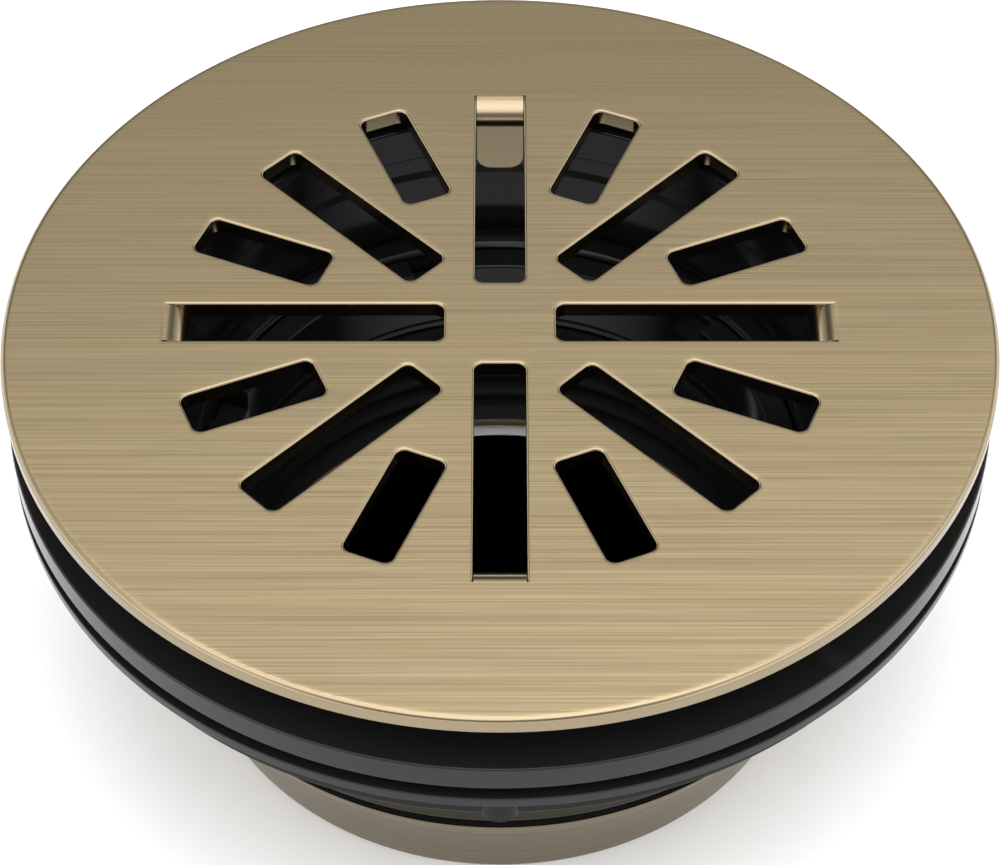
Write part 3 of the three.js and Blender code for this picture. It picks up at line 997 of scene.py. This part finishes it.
def buildCompressionNut():
    foot, top, radius = span("compression_nut")
    bore = seal["nutBore"]
    cut = top - seal["wrenchDepth"]
    low, high = foot + seal["nutMargins"][0], cut - seal["nutMargins"][1]
    screw = thread(radius, low, high, seal["nutPitch"], seal["nutThread"])
    reach = seal["wrenchWidth"] / 2 / radius
    sector = fullTurn / seal["wrenchSlots"]
    first, flank = seal["firstSlot"], seal["slotFlank"]

    def castle(angle, r, z):
        away = abs((angle - first + sector / 2) % sector - sector / 2)
        share = min(1, max(0, (reach - away) / flank + 0.5))
        return r, (z - share * (z - cut) if z > cut else z)

    # extra angles beside each wrench slot, so that its sides stand straight
    angles = []
    for i in range(seal["wrenchSlots"]):
        middle = first + i * sector
        angles += [middle + side * (reach + flank * step) for side in (-1, 1)
                   for step in seal["flankSteps"]]
    angles += [fullTurn * k / seal["nutSteps"] for k in range(seal["nutSteps"])]
    angles = sorted(set(round(a % fullTurn, 5) for a in angles))
    angles = [a for k, a in enumerate(angles) if k == 0 or a - angles[k - 1] > seal["leastStep"]]
    outline = rounded([(bore, foot, 0.3), (radius, foot, 0.2), *wall(radius, low, high),
                       (radius, top, 0.3), (bore, top, 0.3)])
    asPiece("compressionNut", turned(outline, angles=angles, waves=[screw, castle]),
            "compression_nut", blackPlastic, ["compression_nut"])


buildPipeGasket()
buildSlipWasher()
buildCompressionNut()
print("pipe seal built")


# Floor, light and camera

studio = {
    "floorSize": 40.0,          # metres
    "floorColour": (0.86, 0.86, 0.86), "floorRoughness": 0.9, "floorSteps": 96,
    "floorDrop": 0.05,          # how far the floor lies below the foot
    "opening": 29.5,            # the pipe's opening in the floor, under the bore
    # each light's strength, and the part of the sky's direction over which it comes in
    "skyLow": 0.10, "skyHigh": 1.80, "skyRange": (0.62, 0.89),
    "horizon": 2.15, "horizonRange": (0.04, 0.27),
    "below": 0.95, "belowRange": (-0.60, -0.20),        # soft light rising through the opening
    "behind": 0.40, "behindRange": (-0.35, 0.10),       # extra light from the camera's side
    "sides": 1.3, "sidesRange": (0.40, 0.70),           # soft light from both sides
    "sideways": 0.7,            # how much lighter the upper sky is towards +X
    "skyFoot": (-0.03, 0.0),    # where the upper sky gives way to the light from below
}
# these two are in metres, but for the camera's lens and sensor
softbox = {"place": (-0.25, -0.35, 1.5), "aim": (0, 0, 0), "size": (1.8, 1.8), "power": 16}
view = {"eye": (0, -0.24187, 0.30102), "near": 0.01, "tilt": 47.93, "lens": 115.41, "sensor": 36}


# a plain pale floor, open over the pipe that the drain stands on
def buildStudio():
    half = studio["floorSize"] / 2
    opening = studio["opening"] * mm
    steps = studio["floorSteps"]
    bm = bmesh.new()
    turns = [fullTurn * i / steps for i in range(steps)]
    inner = [bm.verts.new((opening * math.cos(a), opening * math.sin(a), 0)) for a in turns]
    outer = [bm.verts.new((half * math.cos(a), half * math.sin(a), 0)) for a in turns]
    for k in range(steps):
        j = (k + 1) % steps
        bm.faces.new((inner[k], outer[k], outer[j], inner[j]))
    mesh = bpy.data.meshes.new("studioFloor")
    bm.to_mesh(mesh)
    bm.free()
    floor = bpy.data.objects.new("studioFloor", mesh)
    scene.collection.objects.link(floor)
    floor.location.z = -studio["floorDrop"] * mm
    material = bpy.data.materials.new("palePaper")
    material.use_nodes = True
    shader = material.node_tree.nodes["Principled BSDF"]
    shader.inputs["Base Color"].default_value = (*studio["floorColour"], 1)
    shader.inputs["Roughness"].default_value = studio["floorRoughness"]
    shader.inputs["Specular IOR Level"].default_value = 0.0
    mesh.materials.append(material)


def buildSky():
    world = bpy.data.worlds.new("softStudio")
    world.use_nodes = True
    tree = world.node_tree
    background = tree.nodes["Background"]
    direction = addNode(tree, "ShaderNodeTexCoord").outputs["Generated"]
    split = addNode(tree, "ShaderNodeSeparateXYZ")
    tree.links.new(direction, split.inputs[0])
    x, y, z = split.outputs
    upper = remap(tree, z, *studio["skyRange"], studio["skyLow"], studio["skyHigh"])
    horizon = remap(tree, z, *studio["horizonRange"], studio["horizon"], 0.0)
    lean = doMath(tree, "ADD", 1.0, doMath(tree, "MULTIPLY", x, studio["sideways"]))
    behind = remap(tree, y, *studio["behindRange"], studio["behind"], 0.0)
    across = doMath(tree, "ABSOLUTE", x)
    sides = remap(tree, across, *studio["sidesRange"], 0.0, studio["sides"])
    light = doMath(tree, "MULTIPLY", upper, lean)
    for part in (horizon, behind, sides):
        light = doMath(tree, "ADD", light, part)
    aboveFloor = remap(tree, z, *studio["skyFoot"], 0.0, 1.0)
    belowFloor = doMath(tree, "SUBTRACT", 1.0, aboveFloor)
    below = remap(tree, y, *studio["belowRange"], studio["below"], 0.0)
    whole = weighted(tree, light, aboveFloor, below, belowFloor)
    tree.links.new(whole, background.inputs["Strength"])
    background.inputs["Color"].default_value = (1.0, 1.0, 1.0, 1)
    scene.world = world


def buildSoftbox():
    light = bpy.data.lights.new("overheadSoftbox", "AREA")
    light.shape = "RECTANGLE"
    light.size, light.size_y = softbox["size"]
    light.energy = softbox["power"]
    lamp = bpy.data.objects.new("overheadSoftbox", light)
    scene.collection.objects.link(lamp)
    place, aim = Vector(softbox["place"]), Vector(softbox["aim"])
    lamp.location = place
    lamp.rotation_euler = (aim - place).to_track_quat("-Z", "Y").to_euler()


def buildCamera():
    camera = bpy.data.cameras.new("camera")
    camera.lens = view["lens"]
    camera.sensor_width = view["sensor"]
    camera.clip_start = view["near"]
    rig = bpy.data.objects.new("camera", camera)
    scene.collection.objects.link(rig)
    rig.location = view["eye"]
    rig.rotation_euler = (math.pi / 2 - math.radians(view["tilt"]), 0, 0)
    scene.camera = rig


buildStudio()
buildSky()
buildSoftbox()
buildCamera()
print("studio set")
